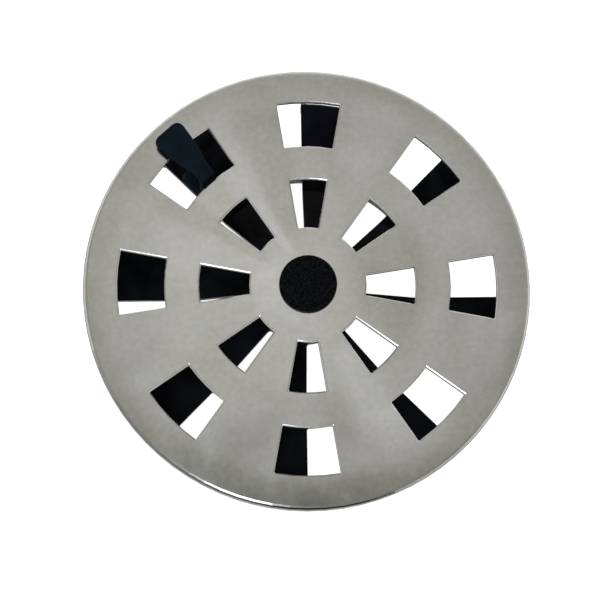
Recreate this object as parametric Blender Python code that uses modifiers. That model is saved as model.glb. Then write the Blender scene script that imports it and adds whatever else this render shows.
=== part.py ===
"""Round floor drain cover with a turning shutter.

A round plate, pressed from sheet with a turned-down rim, has two rings of windows. A moulded shutter hangs
below it on a stud and turns a few degrees, so that its openings and its blades pass under the windows.
A finger lever on the shutter comes up through one wider window.
Run with: blender --background --python part.py
"""

import math

import bmesh
import bpy

MM = 0.001

# Clearances and cuts
TOUCH_GAP = 0.3 * MM            # left between pieces that bear on each other
CUT_OVERRUN = 2.0 * MM          # how far a cutter passes the faces that it cuts
WINDOWS_PER_RING = 8

# Cover plate, pressed from sheet, with its top face level
PLATE_DIAMETER = 100.0 * MM
PLATE_THICKNESS = 0.9 * MM
RIM_DEPTH = 4.5 * MM            # from the top face to the rim's lower edge
RIM_BEND = 1.1 * MM             # outer radius of the bend from the face down into the rim
RIM_FOOT_CHAMFER = 0.2 * MM

# The two rings of windows, from the plate's edge inwards
PLATE_BORDER = 7.7 * MM         # plain metal outside the outer windows
OUTER_WINDOW_LENGTH = 10.3 * MM
MIDDLE_BAND = 7.85 * MM         # plain metal between the two rings
INNER_WINDOW_LENGTH = 11.05 * MM
OUTER_WINDOW_ANGLE = math.radians(19.7)
INNER_WINDOW_ANGLE = math.radians(19.8)
WINDOW_CORNER = 0.25 * MM
WINDOW_EDGE_ROUNDING = 0.4 * MM     # round the top of each window, where the punch drew the sheet in

# The wider window that the lever comes through
LEVER_WINDOW_NUMBER = 3
LEVER_WINDOW_INNER_ANGLE = math.radians(26.5)
LEVER_WINDOW_OUTER_ANGLE = math.radians(25.1)

# Pivot stud, its head on top of the plate
HEAD_DIAMETER = 12.9 * MM
HEAD_THICKNESS = 1.0 * MM
HEAD_CROWN = 0.25 * MM          # how far the middle of the head rises above its rim
HEAD_EDGE_ROUNDING = 0.3 * MM
STUD_DIAMETER = 6.0 * MM
STUD_END_LENGTH = 2.0 * MM      # below the clip's groove
STUD_END_CHAMFER = 0.8 * MM

# Thrust washer between the plate and the shutter's boss
WASHER_DIAMETER = 12.0 * MM
WASHER_THICKNESS = 0.6 * MM

# Retaining clip in the stud's groove
CLIP_DIAMETER = 10.8 * MM
CLIP_THICKNESS = 0.8 * MM
GROOVE_DEPTH = 0.6 * MM
CLIP_RELIEF = 1.2 * MM          # how far the clip stands clear of the stud between its lugs
CLIP_MOUTH_ANGLE = math.radians(70.0)
CLIP_LUG_ANGLE = math.radians(32.0)

# Shutter: a boss, a cone, and a flat ring with a lip
BOSS_DIAMETER = 11.0 * MM
BOSS_LENGTH = 9.8 * MM
CONE_START = 5.2 * MM           # from the boss's top down to the start of the cone
CONE_DROP = 10.3 * MM           # height of the cone
CONE_PAST_WINDOWS = 2.0 * MM    # how far the cone reaches outside the inner windows
SHUTTER_WALL = 1.6 * MM
SHUTTER_SETBACK = 2.0 * MM      # shutter's edge inside the plate's edge
SHUTTER_EDGE_CHAMFER = 0.4 * MM
SHUTTER_LIP_WIDTH = 1.5 * MM
SHUTTER_LIP_DEPTH = 1.8 * MM    # below the ring's underside
TIE_RING_PAST_WINDOWS = 4.65 * MM
TIE_RING_WIDTH = 1.6 * MM       # unbroken ring between the inner and outer openings
TIE_RIB_DEPTH = 1.2 * MM
HUB_BORDER = 6.25 * MM          # unbroken cone outside the boss
OPENING_ANGLE = math.radians(19.3)
OPENING_CORNER = 0.8 * MM
OPENING_REST_EDGE = math.radians(1.2)   # clockwise edge of each opening, past the middle of its window

# Finger lever: a strap with a foot on the shutter, a stem and a tab
LEVER_ANGLE = math.radians(133.3)
STRAP_THICKNESS = 2.0 * MM
STRAP_CHAMFER = 0.2 * MM        # along the edges of the side that is the tab's top
STRAP_UNDERCUT = 0.9 * MM       # chamfer along the edges of the other side
STRAP_BEND = 1.8 * MM           # bend radius at the middle of the strap
STEM_WIDTH = 3.8 * MM
STEM_CLEARANCE = 0.6 * MM       # from the window's inner edge
TAB_WIDTH = 7.6 * MM
TAB_LENGTH = 13.4 * MM          # from the middle of the stem to the tip
TAB_SHOULDER = 11.5 * MM        # from the middle of the stem to the tab's full width
TAB_CORNER = 1.5 * MM
TAB_HEIGHT = 1.0 * MM           # from the plate up to the tab's underside
TAB_CROWN = 0.35 * MM           # how far the middle of the tab's top stands above its edges
FOOT_LENGTH = 7.6 * MM          # from the middle of the stem to the foot's end
FOOT_CORNER = 1.2 * MM
PEG_REACH = 4.4 * MM            # from the middle of the stem to the peg
PEG_DIAMETER = 1.8 * MM
PEG_BARB = 0.3 * MM             # how far the peg's end stands past its hole's edge
PEG_END_LENGTH = 0.9 * MM

# Facets
TURN_STEPS = 80
SMALL_TURN_STEPS = 32
WINDOW_ARC_STEPS = 4
CORNER_STEPS = 3
ROUNDING_STEPS = 4
EDGE_STEPS = 3
SHOULDER_STEPS = 6
SHARP_ANGLE = math.radians(35.0)
WELD_DISTANCE = 0.001 * MM

# Radii that follow from the sizes above
PLATE_RADIUS = PLATE_DIAMETER / 2
OUTER_WINDOW_END = PLATE_RADIUS - PLATE_BORDER
OUTER_WINDOW_START = OUTER_WINDOW_END - OUTER_WINDOW_LENGTH
INNER_WINDOW_END = OUTER_WINDOW_START - MIDDLE_BAND
INNER_WINDOW_START = INNER_WINDOW_END - INNER_WINDOW_LENGTH
STUD_RADIUS = STUD_DIAMETER / 2
BORE_RADIUS = STUD_RADIUS + TOUCH_GAP
BOSS_RADIUS = BOSS_DIAMETER / 2
SHUTTER_RADIUS = PLATE_RADIUS - SHUTTER_SETBACK
CONE_FOOT_RADIUS = INNER_WINDOW_END + CONE_PAST_WINDOWS
TIE_RING_START = INNER_WINDOW_END + TIE_RING_PAST_WINDOWS
TIE_RING_END = TIE_RING_START + TIE_RING_WIDTH
STEM_RADIUS = OUTER_WINDOW_START + STEM_CLEARANCE + STRAP_THICKNESS / 2

# Levels, measured from the plate's top face and negative below it
HEAD_RIM = TOUCH_GAP + HEAD_THICKNESS
WASHER_TOP = -PLATE_THICKNESS - TOUCH_GAP
BOSS_TOP = WASHER_TOP - WASHER_THICKNESS - TOUCH_GAP
BOSS_BOTTOM = BOSS_TOP - BOSS_LENGTH
CLIP_TOP = BOSS_BOTTOM - TOUCH_GAP
GROOVE_BOTTOM = CLIP_TOP - CLIP_THICKNESS - TOUCH_GAP
CONE_TOP = BOSS_TOP - CONE_START
RING_TOP = CONE_TOP - CONE_DROP
RING_BOTTOM = RING_TOP - SHUTTER_WALL
LIP_BOTTOM = RING_BOTTOM - SHUTTER_LIP_DEPTH
FOOT_LEVEL = RING_TOP + TOUCH_GAP + STRAP_THICKNESS / 2
TAB_LEVEL = TAB_HEIGHT + STRAP_THICKNESS / 2

# The drain stands on the shutter's lip, so this is the height of the plate's top face
PLATE_TOP_HEIGHT = -LIP_BOTTOM


def clear_scene():
    """Remove every object that the file holds."""
    for obj in list(bpy.data.objects):
        bpy.data.objects.remove(obj, do_unlink=True)


def make_collection(name):
    """Make a collection in the scene."""
    collection = bpy.data.collections.new(name)
    bpy.context.scene.collection.children.link(collection)
    return collection


def make_material(name, color, metallic, roughness):
    """Make a plain Principled material."""
    material = bpy.data.materials.new(name)
    material.use_nodes = True
    shader = material.node_tree.nodes["Principled BSDF"]
    shader.inputs["Base Color"].default_value = (*color, 1.0)
    shader.inputs["Metallic"].default_value = metallic
    shader.inputs["Roughness"].default_value = roughness
    return material


def add_object(name, mesh, collection, material=None):
    """Put a mesh in the scene with its origin on the drain's axis, at the plate's top face."""
    obj = bpy.data.objects.new(name, mesh)
    obj.location.z = PLATE_TOP_HEIGHT
    if material:
        mesh.materials.append(material)
    collection.objects.link(obj)
    return obj


def evaluated_mesh(obj):
    """Return the mesh of an object with its modifiers applied."""
    graph = bpy.context.evaluated_depsgraph_get()
    return bpy.data.meshes.new_from_object(obj.evaluated_get(graph))


def finish(obj):
    """Apply an object's modifiers, then shade it smooth, with its corners kept sharp and its flats flat."""
    mesh = evaluated_mesh(obj)
    obj.modifiers.clear()
    obj.data = mesh
    mesh.shade_smooth()
    mesh.set_sharp_from_angle(angle=SHARP_ANGLE)
    weighted = obj.modifiers.new("flat_faces", "WEIGHTED_NORMAL")
    weighted.keep_sharp = True
    obj.data = evaluated_mesh(obj)
    obj.modifiers.clear()


def turned(name, profile, steps, collection, material=None):
    """Turn a closed profile of (radius, level) points about the axis, outer side running down."""
    mesh = bpy.data.meshes.new(name)
    points = [(radius, 0.0, level) for radius, level in profile]
    edges = [(i, (i + 1) % len(points)) for i in range(len(points))]
    mesh.from_pydata(points, edges, [])
    obj = add_object(name, mesh, collection, material)
    screw = obj.modifiers.new("turn", "SCREW")
    screw.axis = "Z"
    screw.steps = steps
    screw.render_steps = steps
    screw.use_merge_vertices = True
    screw.merge_threshold = WELD_DISTANCE
    return obj


def loft(bm, rings):
    """Add to bm a closed solid through rings of equally many points."""
    rows = [[bm.verts.new(point) for point in ring] for ring in rings]
    faces = [bm.faces.new(list(reversed(rows[0]))), bm.faces.new(rows[-1])]
    count = len(rows[0])
    for lower, upper in zip(rows, rows[1:]):
        for i in range(count):
            j = (i + 1) % count
            faces.append(bm.faces.new((lower[i], lower[j], upper[j], upper[i])))
    bmesh.ops.recalc_face_normals(bm, faces=faces)


def mesh_from(bm, name):
    """Turn a bmesh into a mesh and free it."""
    mesh = bpy.data.meshes.new(name)
    bm.to_mesh(mesh)
    bm.free()
    return mesh


def add_cutter(name, mesh, collection):
    """Add an object that only cuts others."""
    cutter = add_object(name, mesh, collection)
    cutter.hide_render = True
    cutter.display_type = "WIRE"
    return cutter


def combine(obj, other, operation):
    """Cut or join one object with another."""
    boolean = obj.modifiers.new(other.name, "BOOLEAN")
    boolean.operation = operation
    boolean.solver = "EXACT"
    boolean.object = other


def polar(radius, angle):
    """Return the point at a radius and an angle."""
    return (radius * math.cos(angle), radius * math.sin(angle))


def rounding(center, radius, start, end):
    """Return points on an arc of a profile, from one angle to another."""
    angles = [start + (end - start) * i / ROUNDING_STEPS for i in range(ROUNDING_STEPS + 1)]
    return [(center[0] + x, center[1] + y) for x, y in (polar(radius, angle) for angle in angles)]


def rounded_corner(before, corner, after):
    """Return points on a smooth curve that leaves one side of a corner and joins the other."""
    points = []
    for i in range(CORNER_STEPS + 1):
        t = i / CORNER_STEPS
        points.append(tuple((1 - t) ** 2 * a + 2 * t * (1 - t) * b + t ** 2 * c
                            for a, b, c in zip(before, corner, after)))
    return points


def toward(start, end, distance):
    """Return the point at a distance from start on the way to end."""
    share = distance / math.dist(start, end)
    return tuple(a + (b - a) * share for a, b in zip(start, end))


def window_outline(start, end, start_angle, end_angle, corner, grow=0.0):
    """Return a window between two radii, centred on the X axis, with straight sides and rounded corners.

    start_angle and end_angle are its whole angles at the two radii. grow moves every side outwards.
    """
    inner, outer = start - grow, end + grow
    inner_half = start_angle / 2 + grow / start
    outer_half = end_angle / 2 + grow / end
    inner_turn, outer_turn = corner / inner, corner / outer
    sides = ((inner, inner_half), (outer, outer_half))
    corners = {(radius, sign): polar(radius, sign * half) for radius, half in sides for sign in (-1, 1)}

    points = rounded_corner(
        polar(inner, inner_turn - inner_half), corners[inner, -1],
        toward(corners[inner, -1], corners[outer, -1], corner))
    points += rounded_corner(
        toward(corners[outer, -1], corners[inner, -1], corner), corners[outer, -1],
        polar(outer, outer_turn - outer_half))
    sweep = outer_half - outer_turn
    points += [polar(outer, sweep * (2 * i / WINDOW_ARC_STEPS - 1)) for i in range(1, WINDOW_ARC_STEPS)]
    points += rounded_corner(
        polar(outer, outer_half - outer_turn), corners[outer, 1],
        toward(corners[outer, 1], corners[inner, 1], corner))
    points += rounded_corner(
        toward(corners[inner, 1], corners[outer, 1], corner), corners[inner, 1],
        polar(inner, inner_half - inner_turn))
    sweep = inner_half - inner_turn
    points += [polar(inner, sweep * (1 - 2 * i / WINDOW_ARC_STEPS)) for i in range(1, WINDOW_ARC_STEPS)]
    return points


def placed(outline, angle, level):
    """Turn an outline about the axis and lift it to a level."""
    c, s = math.cos(angle), math.sin(angle)
    return [(x * c - y * s, x * s + y * c, level) for x, y in outline]


def window_cutters(collection):
    """Cutter for all the plate's windows, flared at the top to round their edges."""
    bm = bmesh.new()
    turns = [math.pi / 2 * i / EDGE_STEPS for i in range(EDGE_STEPS + 1)]
    levels = [(-PLATE_THICKNESS - CUT_OVERRUN, 0.0)]
    levels += [(WINDOW_EDGE_ROUNDING * (math.sin(turn) - 1), WINDOW_EDGE_ROUNDING * (1 - math.cos(turn)))
               for turn in turns]
    levels.append((CUT_OVERRUN, WINDOW_EDGE_ROUNDING))
    for number in range(WINDOWS_PER_RING):
        angle = math.tau * number / WINDOWS_PER_RING
        outer_angles = (OUTER_WINDOW_ANGLE, OUTER_WINDOW_ANGLE)
        if number == LEVER_WINDOW_NUMBER:
            outer_angles = (LEVER_WINDOW_INNER_ANGLE, LEVER_WINDOW_OUTER_ANGLE)
        for start, end, angles in (
                (OUTER_WINDOW_START, OUTER_WINDOW_END, outer_angles),
                (INNER_WINDOW_START, INNER_WINDOW_END, (INNER_WINDOW_ANGLE, INNER_WINDOW_ANGLE))):
            loft(bm, [placed(window_outline(start, end, *angles, WINDOW_CORNER, grow), angle, level)
                      for level, grow in levels])
    return add_cutter("window_cutters", mesh_from(bm, "window_cutters"), collection)


def cover_plate(parts, cutters):
    """The metal plate, with its rim, its windows and the hole for the stud."""
    bend_radius = PLATE_RADIUS - RIM_BEND
    rim_inside = PLATE_RADIUS - PLATE_THICKNESS
    profile = [(BORE_RADIUS, 0.0)]
    profile += rounding((bend_radius, -RIM_BEND), RIM_BEND, math.pi / 2, 0.0)
    profile += [
        (PLATE_RADIUS, RIM_FOOT_CHAMFER - RIM_DEPTH),
        (PLATE_RADIUS - RIM_FOOT_CHAMFER, -RIM_DEPTH),
        (rim_inside, -RIM_DEPTH),
    ]
    profile += rounding((bend_radius, -RIM_BEND), RIM_BEND - PLATE_THICKNESS, 0.0, math.pi / 2)
    profile.append((BORE_RADIUS, -PLATE_THICKNESS))
    steel = make_material("polished_stainless_steel", (0.37, 0.36, 0.33), 1.0, 0.2)
    plate = turned("cover_plate", profile, TURN_STEPS, parts, steel)
    combine(plate, window_cutters(cutters), "DIFFERENCE")
    finish(plate)


def pivot_stud(parts):
    """The stud that the shutter turns on, with a crowned head and a groove for the clip."""
    head_radius = HEAD_DIAMETER / 2
    head_edge = head_radius - HEAD_EDGE_ROUNDING
    groove_radius = STUD_RADIUS - GROOVE_DEPTH
    end = GROOVE_BOTTOM - STUD_END_LENGTH
    crown_shares = (0.0, 0.35, 0.7)
    profile = [(head_edge * share, HEAD_RIM + HEAD_CROWN * (1 - share ** 2)) for share in crown_shares]
    profile += rounding((head_edge, HEAD_RIM - HEAD_EDGE_ROUNDING), HEAD_EDGE_ROUNDING, math.pi / 2, 0.0)
    profile += [
        (head_radius, TOUCH_GAP),
        (STUD_RADIUS, TOUCH_GAP),
        (STUD_RADIUS, CLIP_TOP + TOUCH_GAP),
        (groove_radius, CLIP_TOP + TOUCH_GAP),
        (groove_radius, GROOVE_BOTTOM),
        (STUD_RADIUS, GROOVE_BOTTOM),
        (STUD_RADIUS, end + STUD_END_CHAMFER),
        (STUD_RADIUS - STUD_END_CHAMFER, end),
        (0.0, end),
    ]
    plastic = make_material("textured_black_plastic", (0.012, 0.012, 0.012), 0.0, 0.6)
    stud = turned("pivot_stud", profile, SMALL_TURN_STEPS, parts, plastic)
    finish(stud)


def thrust_washer(parts):
    """The washer that the shutter's boss turns against."""
    radius = WASHER_DIAMETER / 2
    bottom = WASHER_TOP - WASHER_THICKNESS
    profile = [(BORE_RADIUS, WASHER_TOP), (radius, WASHER_TOP), (radius, bottom), (BORE_RADIUS, bottom)]
    nylon = make_material("natural_nylon", (0.75, 0.73, 0.66), 0.0, 0.45)
    finish(turned("thrust_washer", profile, SMALL_TURN_STEPS, parts, nylon))


def retaining_clip(parts):
    """The open clip that grips the stud's groove with three lugs, its mouth towards -Y."""
    outer = CLIP_DIAMETER / 2
    grip = STUD_RADIUS - GROOVE_DEPTH + TOUCH_GAP
    relief = STUD_RADIUS + CLIP_RELIEF
    first = CLIP_MOUTH_ANGLE / 2 - math.pi / 2
    last = 1.5 * math.pi - CLIP_MOUTH_ANGLE / 2
    back = math.pi / 2
    half_lug = CLIP_LUG_ANGLE / 2
    inner_runs = (
        (grip, last, last - half_lug),
        (relief, last - half_lug, back + half_lug),
        (grip, back + half_lug, back - half_lug),
        (relief, back - half_lug, first + half_lug),
        (grip, first + half_lug, first),
    )
    steps = SMALL_TURN_STEPS
    outline = [polar(outer, first + (last - first) * i / steps) for i in range(steps + 1)]
    for radius, start, end in inner_runs:
        count = max(2, round(steps * (start - end) / math.tau))
        outline += [polar(radius, start + (end - start) * i / count) for i in range(count + 1)]

    curve = bpy.data.curves.new("retaining_clip", "CURVE")
    curve.dimensions = "2D"
    curve.fill_mode = "BOTH"
    curve.extrude = CLIP_THICKNESS / 2
    spline = curve.splines.new("POLY")
    spline.points.add(len(outline) - 1)
    for point, (x, y) in zip(spline.points, outline):
        point.co = (x, y, 0.0, 1.0)
    spline.use_cyclic_u = True
    guide = bpy.data.objects.new("retaining_clip_outline", curve)
    parts.objects.link(guide)
    bm = bmesh.new()
    bm.from_mesh(evaluated_mesh(guide))
    bpy.data.objects.remove(guide)
    bmesh.ops.remove_doubles(bm, verts=bm.verts, dist=WELD_DISTANCE)
    bmesh.ops.translate(bm, verts=bm.verts, vec=(0.0, 0.0, CLIP_TOP - CLIP_THICKNESS / 2))

    spring_steel = make_material("spring_steel", (0.45, 0.45, 0.44), 1.0, 0.35)
    clip = add_object("retaining_clip", mesh_from(bm, "retaining_clip"), parts, spring_steel)
    finish(clip)


def opening_cutters(collection):
    """Cutter for the shutter's inner openings, its outer openings, open at the edge, and the peg's hole."""
    bm = bmesh.new()
    top = CONE_TOP + CUT_OVERRUN
    bottom = LIP_BOTTOM - CUT_OVERRUN
    rings = (
        (BOSS_RADIUS + HUB_BORDER, TIE_RING_START),
        (TIE_RING_END, SHUTTER_RADIUS + CUT_OVERRUN),
    )
    for number in range(WINDOWS_PER_RING):
        angle = math.tau * number / WINDOWS_PER_RING + OPENING_REST_EDGE + OPENING_ANGLE / 2
        for start, end in rings:
            outline = window_outline(start, end, OPENING_ANGLE, OPENING_ANGLE, OPENING_CORNER)
            loft(bm, [placed(outline, angle, level) for level in (bottom, top)])
    hole_radius = PEG_DIAMETER / 2 + TOUCH_GAP
    hole = [polar(hole_radius, math.tau * i / SMALL_TURN_STEPS) for i in range(SMALL_TURN_STEPS)]
    hole = [(x + STEM_RADIUS + PEG_REACH, y) for x, y in hole]
    loft(bm, [placed(hole, LEVER_ANGLE, level) for level in (bottom, RING_TOP + CUT_OVERRUN)])
    return add_cutter("opening_cutters", mesh_from(bm, "opening_cutters"), collection)


def shutter(parts, cutters):
    """The moulded shutter: a boss on a cone, a tie ring with a rib, and outer blades that stand on a lip."""
    run = CONE_FOOT_RADIUS - BOSS_RADIUS
    slope = math.atan2(CONE_DROP, run)
    cone_wall = SHUTTER_WALL / math.cos(slope)
    foot_shift = SHUTTER_WALL * math.tan(slope / 2)
    lip_inside = SHUTTER_RADIUS - SHUTTER_LIP_WIDTH
    rib_bottom = RING_BOTTOM - TIE_RIB_DEPTH
    profile = [
        (BORE_RADIUS, BOSS_TOP),
        (BOSS_RADIUS, BOSS_TOP),
        (BOSS_RADIUS, CONE_TOP),
        (CONE_FOOT_RADIUS, RING_TOP),
        (SHUTTER_RADIUS - SHUTTER_EDGE_CHAMFER, RING_TOP),
        (SHUTTER_RADIUS, RING_TOP - SHUTTER_EDGE_CHAMFER),
        (SHUTTER_RADIUS, LIP_BOTTOM),
        (lip_inside, LIP_BOTTOM),
        (lip_inside, RING_BOTTOM),
        (TIE_RING_END, RING_BOTTOM),
        (TIE_RING_END, rib_bottom),
        (TIE_RING_START, rib_bottom),
        (TIE_RING_START, RING_BOTTOM),
        (CONE_FOOT_RADIUS - foot_shift, RING_BOTTOM),
        (BOSS_RADIUS, CONE_TOP - cone_wall),
        (BOSS_RADIUS, BOSS_BOTTOM),
        (BORE_RADIUS, BOSS_BOTTOM),
    ]
    plastic = make_material("moulded_black_plastic", (0.006, 0.007, 0.009), 0.0, 0.35)
    disc = turned("shutter", profile, TURN_STEPS, parts, plastic)
    combine(disc, opening_cutters(cutters), "DIFFERENCE")
    finish(disc)


def strap_stations():
    """Return the strap's path as (radius, level, direction, half width, half thickness, crown) stations.

    It runs in along the foot, up the stem and out along the tab. Direction is the path's angle in the upright
    plane through the lever, where 0 points outwards.
    """
    stem_half, tab_half, half = STEM_WIDTH / 2, TAB_WIDTH / 2, STRAP_THICKNESS / 2
    foot_end = STEM_RADIUS + FOOT_LENGTH
    tip = STEM_RADIUS + TAB_LENGTH
    quarter = math.pi / 2
    turns = [quarter * i / ROUNDING_STEPS for i in range(ROUNDING_STEPS + 1)]
    stations = []
    for turn in reversed(turns):
        stations.append((
            foot_end - FOOT_CORNER + FOOT_CORNER * math.sin(turn), FOOT_LEVEL, math.pi,
            stem_half - FOOT_CORNER * (1 - math.cos(turn)), half - STRAP_CHAMFER * (1 - math.cos(turn)), 0.0))
    bend_radius = STEM_RADIUS + STRAP_BEND
    for turn in turns:
        stations.append((
            bend_radius - STRAP_BEND * math.sin(turn), FOOT_LEVEL + STRAP_BEND * (1 - math.cos(turn)),
            math.pi - turn, stem_half, half, 0.0))
    for turn in turns:
        stations.append((
            bend_radius - STRAP_BEND * math.cos(turn), TAB_LEVEL - STRAP_BEND * (1 - math.sin(turn)),
            quarter - turn, stem_half, half, 0.0))
    shoulder_run = TAB_SHOULDER - STRAP_BEND
    for i in range(1, SHOULDER_STEPS + 1):
        t = i / SHOULDER_STEPS
        swell = t * (3 - t) / 2
        stations.append((
            bend_radius + shoulder_run * t, TAB_LEVEL, 0.0, stem_half + (tab_half - stem_half) * swell, half,
            TAB_CROWN * swell))
    for turn in turns:
        stations.append((
            tip - TAB_CORNER + TAB_CORNER * math.sin(turn), TAB_LEVEL, 0.0,
            tab_half - TAB_CORNER * (1 - math.cos(turn)), half - STRAP_CHAMFER * (1 - math.cos(turn)),
            TAB_CROWN * math.cos(turn)))
    return stations


def strap_section(radius, level, direction, half_width, half_thickness, crown):
    """Return the strap's section at a station of its path: undercut below, with a crowned top."""
    under_side, under_edge = half_width - STRAP_UNDERCUT, STRAP_UNDERCUT - half_thickness
    top_side, top_edge = half_width - STRAP_CHAMFER, half_thickness - crown
    across_shares = (1.0, 0.5, 0.0, -0.5, -1.0)
    points = [
        (-half_width, under_edge), (-under_side, -half_thickness), (under_side, -half_thickness),
        (half_width, under_edge), (half_width, top_edge - STRAP_CHAMFER),
    ]
    points += [(top_side * share, half_thickness - crown * share ** 2) for share in across_shares]
    points.append((-half_width, top_edge - STRAP_CHAMFER))
    out_x, out_z = -math.sin(direction), math.cos(direction)
    return [(radius + depth * out_x, across, level + depth * out_z) for across, depth in points]


def finger_lever(parts, cutters):
    """The lever: a bent strap that widens to a thumb tab, with a barbed peg under its foot."""
    bm = bmesh.new()
    loft(bm, [strap_section(*station) for station in strap_stations()])
    plastic = make_material("gloss_black_plastic", (0.008, 0.010, 0.014), 0.0, 0.25)
    lever = add_object("finger_lever", mesh_from(bm, "finger_lever"), parts, plastic)

    peg_radius = PEG_DIAMETER / 2
    barb_radius = peg_radius + TOUCH_GAP + PEG_BARB
    barb_top = RING_BOTTOM - TOUCH_GAP
    end = barb_top - PEG_END_LENGTH
    profile = [
        (0.0, FOOT_LEVEL), (peg_radius, FOOT_LEVEL), (peg_radius, barb_top), (barb_radius, barb_top),
        (peg_radius, end), (0.0, end),
    ]
    peg = turned("lever_peg", profile, SMALL_TURN_STEPS, cutters)
    peg.location.x = STEM_RADIUS + PEG_REACH
    peg.hide_render = True
    peg.display_type = "WIRE"
    combine(lever, peg, "UNION")
    finish(lever)
    lever.rotation_euler.z = LEVER_ANGLE


def main():
    clear_scene()
    parts = make_collection("round_floor_drain")
    cutters = make_collection("cutters")
    cover_plate(parts, cutters)
    pivot_stud(parts)
    thrust_washer(parts)
    retaining_clip(parts)
    shutter(parts, cutters)
    finger_lever(parts, cutters)


main()
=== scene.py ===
import math

import bpy
from mathutils import Euler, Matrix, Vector

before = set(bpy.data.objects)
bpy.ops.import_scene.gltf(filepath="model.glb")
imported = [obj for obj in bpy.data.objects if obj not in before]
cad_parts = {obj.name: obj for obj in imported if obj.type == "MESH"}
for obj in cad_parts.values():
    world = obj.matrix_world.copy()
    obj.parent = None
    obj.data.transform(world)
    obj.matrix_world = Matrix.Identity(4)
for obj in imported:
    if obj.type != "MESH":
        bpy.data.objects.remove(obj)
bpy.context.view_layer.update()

MM = 0.001
PLATE_TOP = 21 * MM             # height of the plate's polished face above the floor
WINDOWS_REACH = 46 * MM         # from the pivot to past the outer windows, inside the rim

# Slopes of the sheet, given as the upward part of its normal, which is 1 where the sheet lies level
BUFFED_VS_SHADED_SLOPES = (0.60, 0.75)    # between which the wheel comes to buff it, and under which the sheet is painted darker as painted shade
PUNCHED_SLOPES = (0.35, 0.60)   # between which a punched wall ends

# Soft lighter and darker rays painted into the plate's face, as a painted reflection of the room's light and
# shade:
# azimuth and half width in degrees, where it starts and ends in millimetres from the pivot, and how much
# lighter it is there, as a share
PAINTED_REFLECTION_RAYS = (
    (195, 110, 0, 11, 0.10),
    (123, 8, 8, 42, 0.15),
    (105, 13, 12, 42, -0.12),
    (149, 8, 10, 38, -0.11),
    (168, 16, 8, 38, 0.06),
    (68, 12, 30, 45, 0.09),
    (29, 20, 27, 42, 0.07),
    (5, 48, 11, 27, -0.14),
    (325, 22, 14, 36, -0.05),
    (344, 12, 36, 46, 0.10),
    (297, 11, 16, 36, 0.12),
    (305, 13, 32, 46, 0.14),
    (284, 9, 24, 34, -0.07),
    (235, 34, 24, 29, -0.08),
    (217, 12, 38, 46, 0.14),
    (270, 60, 43, 60, -0.26),
)
RAY_FADE = 3                    # millimetres before and after its start and its end over which a ray fades
RAY_WANDER = 5 * MM             # twice the furthest that the outlines of the rays stray over the sheet
PAINTED_DARK_EDGE = (43 * MM, 49 * MM)  # from the pivot, between which a painted shade darkens the sheet towards the bend
EDGE_PAINTED_SHADE = 0.10            # how much darker the painted shade makes the sheet there, as a share
MOTTLE_DEPTH = 0.055            # how much lighter or darker orange peel makes the sheet, as a share

# Most of a noise's values lie between these
NOISE_SPREAD = {"From Min": 0.3, "From Max": 0.7}
# A Mix node's colour sockets by number, because they share their names with its other ones
COLOUR_A, COLOUR_B, MIXED_COLOUR = 6, 7, 2

# Camera, close above the plate and a little towards its lower edge
CAMERA_PLACE = Vector((-14.07, -59.58, 302.04)) * MM + Vector((0, 0, PLATE_TOP))
CAMERA_TURN = Euler((math.radians(10.49), math.radians(-2.36), math.radians(0.16)))
CAMERA_LENS = 83.06             # in millimetres
CAMERA_SENSOR = 36              # its width in millimetres
CAMERA_CLIP_START = 10 * MM

# Room, from the horizon up: its levels, and between which heights in degrees each turns into the next.
# Its foot is the white that shows behind the object from a low camera, and in the metal too
FOOT_LEVEL = 1.02               # a hair over white, so that it stays white at the picture's edges
WALL_LEVEL = 0.90
CEILING_LEVEL = 0.44
WALL_START = (14, 24)
CEILING_START = (34, 62)
DARKEST_LEVEL = 0.015
# Patches of light and of shade in the room: azimuth and height, and the angles from there within which the
# patch is full and beyond which it has ended, all in degrees, and how much it adds to the level
CEILING_PATCHES = (
    (94.2, 80.0, 0, 6.5, 0.30),
    (110.6, 71.1, 0, 9.5, 0.17),
    (71.2, 75.2, 0, 9.5, 0.16),
    (38.2, 81.9, 0, 4.0, 0.36),
    (18.8, 84.7, 0, 4.0, -0.26),
)
# Dark patches low in the room, in the same way, which draw the dark line along the rim's lower edge
DARK_PATCHES = (
    (290, 26, 8, 12.5, -0.90),
    (272, 26, 8, 12.5, -0.90),
    (252, 26, 8, 12.5, -0.68),
    (233, 25, 8, 12, -0.66),
    (214, 24, 7, 11, -0.64),
    (196, 23, 7, 10, -0.56),
)

# Lamp: azimuth and height above the horizon in degrees, distance and sizes in metres, level as seen
KEY_LAMP = {"azimuth": 250.5, "height": 71, "distance": 0.7, "size": (0.115, 0.23), "level": 6.4}
KEY_COLOUR = "#e6ecff"

FLOOR_SIZE = 6.0
FLOOR_GLOW = 0.90               # what the camera and reflections see of the floor before light falls on it


def linear(code):
    """Turn an sRGB hex colour into linear red, green and blue, and full alpha."""
    shares = [int(code[i:i + 2], 16) / 255 for i in (1, 3, 5)]
    return (*(c / 12.92 if c <= 0.04045 else ((c + 0.055) / 1.055) ** 2.4 for c in shares), 1.0)


def direction(azimuth, height):
    """Return the unit vector towards this azimuth and height above the horizon, in degrees."""
    around, up = math.radians(azimuth), math.radians(height)
    return Vector((math.cos(up) * math.cos(around), math.cos(up) * math.sin(around), math.sin(up)))


def per_metre(size_mm):
    """Return how many times something of this size repeats in a metre."""
    return 1000 / size_mm


def add_node(tree, kind, inputs=None, output=0, **settings):
    """Add a node with its settings, fill its inputs with values or links, and return one of its outputs."""
    node = tree.nodes.new(kind)
    for name, value in settings.items():
        setattr(node, name, value)
    for name, value in (inputs or {}).items():
        if isinstance(value, bpy.types.NodeSocket):
            tree.links.new(value, node.inputs[name])
        else:
            node.inputs[name].default_value = value
    return node.outputs[output] if node.outputs else None


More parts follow.
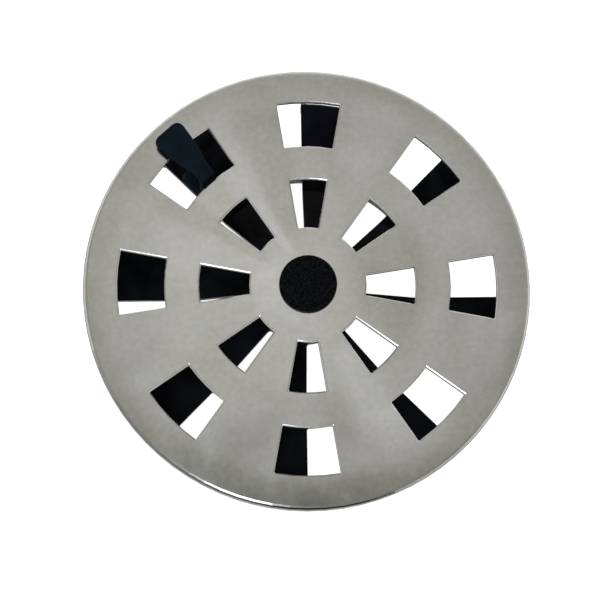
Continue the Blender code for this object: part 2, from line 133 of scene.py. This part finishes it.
def new_material(name):
    """Make an empty node material and return it with its node tree."""
    material = bpy.data.materials.new(name)
    material.use_nodes = True
    material.node_tree.nodes.clear()
    return material, material.node_tree


def buffed_stainless_sheet():
    """Stainless steel sheet, pressed and then polished on a buffing wheel.

    The eye sees a faintly warm grey mirror that is never quite sharp. Rolling leaves a fine mottle. The press
    leaves the sheet wavy, so that reflections swim. Soft lighter and darker rays, and a darkening towards the
    bend, are painted into its colour as painted reflections of the room. Buffing leaves a haze in patches and
    hairlines one way. The wheel doesn't reach the rim's outer wall and the underside, which keep the mill's
    satin and are painted dark grey as painted shade, or the walls the punch tore in the windows, which are
    rougher and painted nearly black as painted shade, which draws a thin line round each.
    """
    material, tree = new_material("buffed_stainless_sheet")
    place = add_node(tree, "ShaderNodeTexCoord", output="Object")
    buffing_way = add_node(tree, "ShaderNodeMapping", {
        "Vector": place, "Rotation": (0, 0, math.radians(24)), "Scale": (1, 0.04, 1)})
    smear_way = add_node(tree, "ShaderNodeMapping", {
        "Vector": place, "Rotation": (0, 0, math.radians(-35)), "Scale": (1, 0.7, 1)})

    haze_patches = add_node(tree, "ShaderNodeTexNoise", {
        "Vector": place, "Scale": per_metre(9), "Detail": 3, "Roughness": 0.6})
    haze_smears = add_node(tree, "ShaderNodeTexNoise", {
        "Vector": smear_way, "Scale": per_metre(11), "Detail": 3, "Roughness": 0.55})
    haze = add_node(tree, "ShaderNodeMath", {0: haze_patches, 1: haze_smears}, operation="MULTIPLY")
    # Real buffing lines are about 0.02 mm apart: drawn at 0.35 mm so that they show
    hairlines = add_node(tree, "ShaderNodeTexNoise", {
        "Vector": buffing_way, "Scale": per_metre(0.35), "Detail": 2})
    press_waves = add_node(tree, "ShaderNodeTexNoise", {
        "Vector": place, "Scale": per_metre(20), "Detail": 1.5, "Roughness": 0.5})
    # Real orange peel from the rolls is about 0.3 mm: drawn at 1.4 mm so that it shows
    orange_peel = add_node(tree, "ShaderNodeTexNoise", {
        "Vector": place, "Scale": per_metre(1.4), "Detail": 2, "Roughness": 0.6})

    # What the wheel buffs, and what is a wall left by the punch; the sheet the wheel misses and those walls
    # are also painted darker as painted shade
    facing = add_node(tree, "ShaderNodeTexCoord", output="Normal")
    facing_up = add_node(tree, "ShaderNodeSeparateXYZ", {"Vector": facing}, output="Z")
    buffed_vs_shaded = add_node(tree, "ShaderNodeMapRange", {
        "Value": facing_up, "From Min": BUFFED_VS_SHADED_SLOPES[0], "From Max": BUFFED_VS_SHADED_SLOPES[1]},
        interpolation_type="SMOOTHSTEP")
    levelness = add_node(tree, "ShaderNodeMath", {0: facing_up}, operation="ABSOLUTE")
    on_wall = add_node(tree, "ShaderNodeMapRange", {
        "Value": levelness, "From Min": PUNCHED_SLOPES[0], "From Max": PUNCHED_SLOPES[1],
        "To Min": 1.0, "To Max": 0.0}, interpolation_type="SMOOTHSTEP")
    wander = add_node(tree, "ShaderNodeTexNoise", {
        "Vector": place, "Scale": per_metre(14), "Detail": 1.5}, output="Color")
    wander = add_node(tree, "ShaderNodeVectorMath", {
        0: wander, 1: (0.5, 0.5, 0.5)}, operation="SUBTRACT")
    wandered = add_node(tree, "ShaderNodeVectorMath", {
        0: wander, 1: (RAY_WANDER, RAY_WANDER, 0), 2: place}, operation="MULTIPLY_ADD")
    outward = add_node(tree, "ShaderNodeMapping", {"Vector": wandered, "Scale": (1, 1, 0)})
    reach = add_node(tree, "ShaderNodeVectorMath", {0: outward}, output="Value", operation="LENGTH")
    inside_rim = add_node(tree, "ShaderNodeMath", {0: reach, 1: WINDOWS_REACH}, operation="LESS_THAN")
    punched_and_shaded = add_node(tree, "ShaderNodeMath", {0: on_wall, 1: inside_rim}, operation="MULTIPLY")

    # How light the face is: its painted dark edge, mottle, painted reflection rays and smears
    # Painted shade: the face is painted darker towards the bend
    gain = add_node(tree, "ShaderNodeMapRange", {
        "Value": reach, "From Min": PAINTED_DARK_EDGE[0], "From Max": PAINTED_DARK_EDGE[1],
        "To Min": 1.0, "To Max": 1.0 - EDGE_PAINTED_SHADE}, interpolation_type="SMOOTHSTEP")
    mottle = add_node(tree, "ShaderNodeMapRange", {
        "Value": orange_peel, **NOISE_SPREAD, "To Min": -MOTTLE_DEPTH, "To Max": MOTTLE_DEPTH})
    gain = add_node(tree, "ShaderNodeMath", {0: gain, 1: mottle}, operation="ADD")
    way_out = add_node(tree, "ShaderNodeVectorMath", {0: outward}, operation="NORMALIZE")
    # Each ray is a painted reflection, lighter or darker, laid into the face's colour
    for azimuth, half_width, start, end, strength in PAINTED_REFLECTION_RAYS:
        near = add_node(tree, "ShaderNodeVectorMath", {
            0: way_out, 1: direction(azimuth, 0)}, output="Value", operation="DOT_PRODUCT")
        ray = add_node(tree, "ShaderNodeMapRange", {
            "Value": near, "From Min": math.cos(math.radians(half_width)), "From Max": 1.0,
            "To Min": 0.0, "To Max": strength}, interpolation_type="SMOOTHSTEP")
        for edge, before, after in ((start, 0.0, 1.0), (end, 1.0, 0.0)):
            fade = add_node(tree, "ShaderNodeMapRange", {
                "Value": reach, "From Min": (edge - RAY_FADE) * MM, "From Max": (edge + RAY_FADE) * MM,
                "To Min": before, "To Max": after}, interpolation_type="SMOOTHSTEP")
            ray = add_node(tree, "ShaderNodeMath", {0: ray, 1: fade}, operation="MULTIPLY")
        gain = add_node(tree, "ShaderNodeMath", {0: gain, 1: ray}, operation="ADD")
    smear_gain = add_node(tree, "ShaderNodeMapRange", {
        "Value": haze_smears, **NOISE_SPREAD, "To Min": 0.93, "To Max": 1.07})
    gain = add_node(tree, "ShaderNodeMath", {0: gain, 1: smear_gain}, operation="MULTIPLY")

    face_roughness = add_node(tree, "ShaderNodeMapRange", {
        "Value": haze, "From Min": 0.12, "From Max": 0.40, "To Min": 0.12, "To Max": 0.22})
    line_roughness = add_node(tree, "ShaderNodeMapRange", {
        "Value": hairlines, **NOISE_SPREAD, "To Min": -0.006, "To Max": 0.006})
    roughness = add_node(tree, "ShaderNodeMath", {0: face_roughness, 1: line_roughness}, operation="ADD")
    roughness = add_node(tree, "ShaderNodeMix", {"Factor": buffed_vs_shaded, "A": 0.26, "B": roughness})
    roughness = add_node(tree, "ShaderNodeMix", {"Factor": punched_and_shaded, "A": roughness, "B": 0.45})

    # Where the painted reflection rays and the rest make the face darker, it is a little yellower than where
    # they make it lighter
    bright = add_node(tree, "ShaderNodeMapRange", {"Value": gain, "From Min": 0.84, "From Max": 1.16})
    face_colour = add_node(tree, "ShaderNodeMix", {
        "Factor": bright, COLOUR_A: linear("#cac9be"), COLOUR_B: linear("#c8c7c3")},
        output=MIXED_COLOUR, data_type="RGBA")
    face_colour = add_node(tree, "ShaderNodeVectorMath", {0: face_colour, "Scale": gain}, operation="SCALE")
    # Painted shade: the sheet the wheel misses, on the rim's outer wall and underside, is painted dark grey
    colour = add_node(tree, "ShaderNodeMix", {
        "Factor": buffed_vs_shaded, COLOUR_A: linear("#777672"), COLOUR_B: face_colour},
        output=MIXED_COLOUR, data_type="RGBA")
    # Painted shade: the windows' torn walls are painted nearly black, which draws a thin dark line round each
    colour = add_node(tree, "ShaderNodeMix", {
        "Factor": punched_and_shaded, COLOUR_A: colour, COLOUR_B: linear("#3a3a38")},
        output=MIXED_COLOUR, data_type="RGBA")

    relief = add_node(tree, "ShaderNodeBump", {"Height": press_waves, "Distance": 0.22 * MM})
    relief = add_node(tree, "ShaderNodeBump", {
        "Height": hairlines, "Distance": 0.0002 * MM, "Normal": relief})
    surface = add_node(tree, "ShaderNodeBsdfPrincipled", {
        "Base Color": colour, "Metallic": 1.0, "Roughness": roughness, "Normal": relief})
    add_node(tree, "ShaderNodeOutputMaterial", {"Surface": surface})
    return material


def spark_textured_acetal():
    """Black acetal moulded in a spark-eroded tool.

    The eye sees a dark, even grain with no clear reflection, with a painted highlight that makes the highest
    grain a little lighter.
    """
    material, tree = new_material("spark_textured_acetal")
    place = add_node(tree, "ShaderNodeTexCoord", output="Object")
    # Real spark texture is about 0.05 mm: drawn at 0.45 mm so that it shows
    grain = add_node(tree, "ShaderNodeTexNoise", {
        "Vector": place, "Scale": per_metre(0.45), "Detail": 2, "Roughness": 0.7})
    rubbed = add_node(tree, "ShaderNodeTexNoise", {"Vector": place, "Scale": per_metre(6), "Detail": 2})
    # Painted highlight: the grain is painted a little lighter where it stands highest
    painted_grain_highlight = add_node(tree, "ShaderNodeMapRange", {"Value": grain, "From Min": 0.44, "From Max": 0.74})
    colour = add_node(tree, "ShaderNodeMix", {
        "Factor": painted_grain_highlight, COLOUR_A: linear("#000000"), COLOUR_B: linear("#1a2025")},
        output=MIXED_COLOUR, data_type="RGBA")
    roughness = add_node(tree, "ShaderNodeMapRange", {
        "Value": rubbed, **NOISE_SPREAD, "To Min": 0.5, "To Max": 0.62})
    relief = add_node(tree, "ShaderNodeBump", {"Height": grain, "Distance": 0.035 * MM})
    # The black pieces' specular level is far under the usual 0.5, because this room is paler than what the
    # real ones mirror
    surface = add_node(tree, "ShaderNodeBsdfPrincipled", {
        "Base Color": colour, "Roughness": roughness, "IOR": 1.48, "Specular IOR Level": 0.05,
        "Normal": relief})
    add_node(tree, "ShaderNodeOutputMaterial", {"Surface": surface})
    return material


def moulded_shutter_abs():
    """Black ABS moulded in a plainly finished tool.

    The eye sees near black, with a faint blue painted reflection in patches, and a gloss that changes where
    the melt flowed round the openings.
    """
    material, tree = new_material("moulded_shutter_abs")
    place = add_node(tree, "ShaderNodeTexCoord", output="Object")
    # Real tool marks are about 0.1 mm: drawn at 0.5 mm so that they show
    tool_marks = add_node(tree, "ShaderNodeTexNoise", {
        "Vector": place, "Scale": per_metre(0.5), "Detail": 2, "Roughness": 0.7})
    melt_flow = add_node(tree, "ShaderNodeTexNoise", {
        "Vector": place, "Scale": per_metre(9), "Detail": 2, "Distortion": 0.6})
    # Painted reflection: the colour is painted a faint blue in patches
    painted_sheen = add_node(tree, "ShaderNodeMapRange", {"Value": melt_flow, "From Min": 0.42, "From Max": 0.68})
    colour = add_node(tree, "ShaderNodeMix", {
        "Factor": painted_sheen, COLOUR_A: linear("#010204"), COLOUR_B: linear("#10161c")},
        output=MIXED_COLOUR, data_type="RGBA")
    roughness = add_node(tree, "ShaderNodeMapRange", {
        "Value": melt_flow, **NOISE_SPREAD, "To Min": 0.32, "To Max": 0.44})
    relief = add_node(tree, "ShaderNodeBump", {"Height": tool_marks, "Distance": 0.006 * MM})
    surface = add_node(tree, "ShaderNodeBsdfPrincipled", {
        "Base Color": colour, "Roughness": roughness, "IOR": 1.54, "Specular IOR Level": 0.06,
        "Normal": relief})
    add_node(tree, "ShaderNodeOutputMaterial", {"Surface": surface})
    return material


def moulded_lever_abs():
    """Blue-black ABS moulded in a tool whose top half has a fine blast finish and whose sides are
    spark-eroded.

    The eye sees a dark blue-green satin face with faint sink waves, painted lighter where they stand high as
    a painted highlight, and a film of fine scratches from fingertips, and matt sides painted nearly black as
    painted shade.
    """
    material, tree = new_material("moulded_lever_abs")
    place = add_node(tree, "ShaderNodeTexCoord", output="Object")
    sink_waves = add_node(tree, "ShaderNodeTexNoise", {"Vector": place, "Scale": per_metre(4), "Detail": 1})
    # Real finger scratches are about 0.01 mm wide: drawn at 0.25 mm so that they show
    scratch_way = add_node(tree, "ShaderNodeMapping", {
        "Vector": place, "Rotation": (0, 0, math.radians(40)), "Scale": (1, 0.12, 1)})
    scratches = add_node(tree, "ShaderNodeTexNoise", {
        "Vector": scratch_way, "Scale": per_metre(0.25), "Detail": 3, "Roughness": 0.6})
    facing = add_node(tree, "ShaderNodeTexCoord", output="Normal")
    facing_up = add_node(tree, "ShaderNodeSeparateXYZ", {"Vector": facing}, output="Z")
    blasted_vs_shaded = add_node(tree, "ShaderNodeMapRange", {
        "Value": facing_up, "From Min": 0.1, "From Max": 0.5}, interpolation_type="SMOOTHSTEP")

    # Painted highlight: the sink waves are painted lighter where they stand high
    painted_wave_highlight = add_node(tree, "ShaderNodeMapRange", {"Value": sink_waves, **NOISE_SPREAD})
    colour = add_node(tree, "ShaderNodeMix", {
        "Factor": painted_wave_highlight, COLOUR_A: linear("#0d171e"), COLOUR_B: linear("#121e26")},
        output=MIXED_COLOUR, data_type="RGBA")
    # Painted shade: the sides are painted nearly black, darker than the face
    colour = add_node(tree, "ShaderNodeMix", {
        "Factor": blasted_vs_shaded, COLOUR_A: linear("#05080b"), COLOUR_B: colour},
        output=MIXED_COLOUR, data_type="RGBA")
    roughness = add_node(tree, "ShaderNodeMapRange", {
        "Value": scratches, **NOISE_SPREAD, "To Min": 0.5, "To Max": 0.62})
    roughness = add_node(tree, "ShaderNodeMix", {"Factor": blasted_vs_shaded, "A": 0.9, "B": roughness})

    relief = add_node(tree, "ShaderNodeBump", {"Height": sink_waves, "Distance": 0.03 * MM})
    relief = add_node(tree, "ShaderNodeBump", {
        "Height": scratches, "Distance": 0.0015 * MM, "Normal": relief})
    surface = add_node(tree, "ShaderNodeBsdfPrincipled", {
        "Base Color": colour, "Roughness": roughness, "IOR": 1.54, "Specular IOR Level": 0.04,
        "Normal": relief})
    add_node(tree, "ShaderNodeOutputMaterial", {"Surface": surface})
    return material


def natural_moulded_nylon():
    """Moulded nylon without pigment: a milky off-white that lets a little light in at its edges."""
    material, tree = new_material("natural_moulded_nylon")
    place = add_node(tree, "ShaderNodeTexCoord", output="Object")
    cloud = add_node(tree, "ShaderNodeTexNoise", {"Vector": place, "Scale": per_metre(3), "Detail": 2})
    tone = add_node(tree, "ShaderNodeMapRange", {"Value": cloud, **NOISE_SPREAD})
    colour = add_node(tree, "ShaderNodeMix", {
        "Factor": tone, COLOUR_A: linear("#ddd8c8"), COLOUR_B: linear("#e8e4d8")},
        output=MIXED_COLOUR, data_type="RGBA")
    roughness = add_node(tree, "ShaderNodeMapRange", {
        "Value": cloud, **NOISE_SPREAD, "To Min": 0.38, "To Max": 0.48})
    surface = add_node(tree, "ShaderNodeBsdfPrincipled", {
        "Base Color": colour, "Roughness": roughness, "IOR": 1.53, "Subsurface Weight": 0.2,
        "Subsurface Radius": (1.2 * MM, 1.0 * MM, 0.8 * MM), "Subsurface Scale": 1.0})
    add_node(tree, "ShaderNodeOutputMaterial", {"Surface": surface})
    return material


def phosphated_spring_steel():
    """Stamped spring steel with a phosphate coat: dark grey, fine-grained and only half glossy."""
    material, tree = new_material("phosphated_spring_steel")
    place = add_node(tree, "ShaderNodeTexCoord", output="Object")
    # Real phosphate crystals are about 0.01 mm: drawn at 0.4 mm so that they show
    crystals = add_node(tree, "ShaderNodeTexNoise", {
        "Vector": place, "Scale": per_metre(0.4), "Detail": 3, "Roughness": 0.6})
    tone = add_node(tree, "ShaderNodeMapRange", {"Value": crystals, **NOISE_SPREAD})
    colour = add_node(tree, "ShaderNodeMix", {
        "Factor": tone, COLOUR_A: linear("#5c5b58"), COLOUR_B: linear("#74736f")},
        output=MIXED_COLOUR, data_type="RGBA")
    roughness = add_node(tree, "ShaderNodeMapRange", {
        "Value": crystals, **NOISE_SPREAD, "To Min": 0.36, "To Max": 0.48})
    relief = add_node(tree, "ShaderNodeBump", {"Height": crystals, "Distance": 0.008 * MM})
    surface = add_node(tree, "ShaderNodeBsdfPrincipled", {
        "Base Color": colour, "Metallic": 1.0, "Roughness": roughness, "Normal": relief})
    add_node(tree, "ShaderNodeOutputMaterial", {"Surface": surface})
    return material


def finish_pieces():
    """Give each CAD node the material of the real piece."""
    materials = {
        "cover_plate": buffed_stainless_sheet(),
        "pivot_stud": spark_textured_acetal(),
        "thrust_washer": natural_moulded_nylon(),
        "retaining_clip": phosphated_spring_steel(),
        "shutter": moulded_shutter_abs(),
        "finger_lever": moulded_lever_abs(),
    }
    for node, material in materials.items():
        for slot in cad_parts[node].material_slots:
            slot.material = material


def painted_studio_floor():
    """White-painted floor that takes the object's shadow and still shows white behind it.

    The glow is only what the camera, reflections and see-through surfaces see, so it lights nothing.
    """
    material, tree = new_material("painted_studio_floor")
    path = "ShaderNodeLightPath"
    seen = add_node(tree, "ShaderNodeMath", {
        0: add_node(tree, path, output="Is Camera Ray"),
        1: add_node(tree, path, output="Is Glossy Ray")}, operation="MAXIMUM")
    seen = add_node(tree, "ShaderNodeMath", {
        0: seen, 1: add_node(tree, path, output="Is Transmission Ray")}, operation="MAXIMUM")
    strength = add_node(tree, "ShaderNodeMath", {0: seen, 1: FLOOR_GLOW}, operation="MULTIPLY")
    paint = add_node(tree, "ShaderNodeBsdfDiffuse", {"Color": linear("#f4f4f4")})
    glow = add_node(tree, "ShaderNodeEmission", {"Strength": strength})
    surface = add_node(tree, "ShaderNodeAddShader", {0: paint, 1: glow})
    add_node(tree, "ShaderNodeOutputMaterial", {"Surface": surface})
    return material


def lay_floor():
    """Lay the studio floor under the object."""
    half = FLOOR_SIZE / 2
    corners = [(-half, -half, 0), (half, -half, 0), (half, half, 0), (-half, half, 0)]
    mesh = bpy.data.meshes.new("studio_floor")
    mesh.from_pydata(corners, [], [(0, 1, 2, 3)])
    mesh.materials.append(painted_studio_floor())
    floor = bpy.data.objects.new("studio_floor", mesh)
    bpy.context.scene.collection.objects.link(floor)


def light_room():
    """Light the scene from a pale room, with soft patches of light and shade that the plate mirrors.

    Its white foot is what a low camera sees past the floor, and what the metal mirrors there.
    """
    world = bpy.data.worlds.new("studio_room")
    bpy.context.scene.world = world
    world.use_nodes = True
    tree = world.node_tree
    tree.nodes.clear()
    towards = add_node(tree, "ShaderNodeTexCoord", output="Generated")
    upward = add_node(tree, "ShaderNodeSeparateXYZ", {"Vector": towards}, output="Z")
    level = FOOT_LEVEL
    changes = (
        (WALL_START, WALL_LEVEL - FOOT_LEVEL),
        (CEILING_START, CEILING_LEVEL - WALL_LEVEL),
    )
    for (start, end), change in changes:
        step = add_node(tree, "ShaderNodeMapRange", {
            "Value": upward, "From Min": math.sin(math.radians(start)),
            "From Max": math.sin(math.radians(end)), "To Min": 0.0, "To Max": change},
            interpolation_type="SMOOTHSTEP")
        level = add_node(tree, "ShaderNodeMath", {0: level, 1: step}, operation="ADD")
    for azimuth, height, full, end, strength in CEILING_PATCHES + DARK_PATCHES:
        near = add_node(tree, "ShaderNodeVectorMath", {
            0: towards, 1: direction(azimuth, height)}, output="Value", operation="DOT_PRODUCT")
        patch = add_node(tree, "ShaderNodeMapRange", {
            "Value": near, "From Min": math.cos(math.radians(end)),
            "From Max": math.cos(math.radians(full)), "To Min": 0.0, "To Max": strength},
            interpolation_type="SMOOTHSTEP")
        level = add_node(tree, "ShaderNodeMath", {0: level, 1: patch}, operation="ADD")
    level = add_node(tree, "ShaderNodeMath", {0: level, 1: DARKEST_LEVEL}, operation="MAXIMUM")
    background = add_node(tree, "ShaderNodeBackground", {"Color": linear("#ffffff"), "Strength": level})
    add_node(tree, "ShaderNodeOutputWorld", {"Surface": background})


def hang_softbox(name, azimuth, height, distance, size, level):
    """Add a soft box that faces the middle of the plate and looks this bright from there."""
    towards = direction(azimuth, height)
    lamp = bpy.data.lights.new(name, "AREA")
    lamp.shape = "RECTANGLE"
    lamp.size, lamp.size_y = size
    lamp.color = linear(KEY_COLOUR)[:3]
    lamp.energy = level * math.pi * size[0] * size[1]
    softbox = bpy.data.objects.new(name, lamp)
    softbox.location = towards * distance + Vector((0, 0, PLATE_TOP))
    softbox.rotation_euler = towards.to_track_quat("Z", "Y").to_euler()
    bpy.context.scene.collection.objects.link(softbox)


def place_camera():
    """Set the camera up as fitted to the plate's outline and window corners in the photograph."""
    data = bpy.data.cameras.new("camera")
    data.sensor_width = CAMERA_SENSOR
    data.lens = CAMERA_LENS
    data.clip_start = CAMERA_CLIP_START
    camera = bpy.data.objects.new("camera", data)
    camera.location = CAMERA_PLACE
    camera.rotation_euler = CAMERA_TURN
    bpy.context.scene.collection.objects.link(camera)
    bpy.context.scene.camera = camera


place_camera()
finish_pieces()
lay_floor()
light_room()
hang_softbox("key_softbox", **KEY_LAMP)
bpy.context.scene.view_settings.view_transform = "Standard"
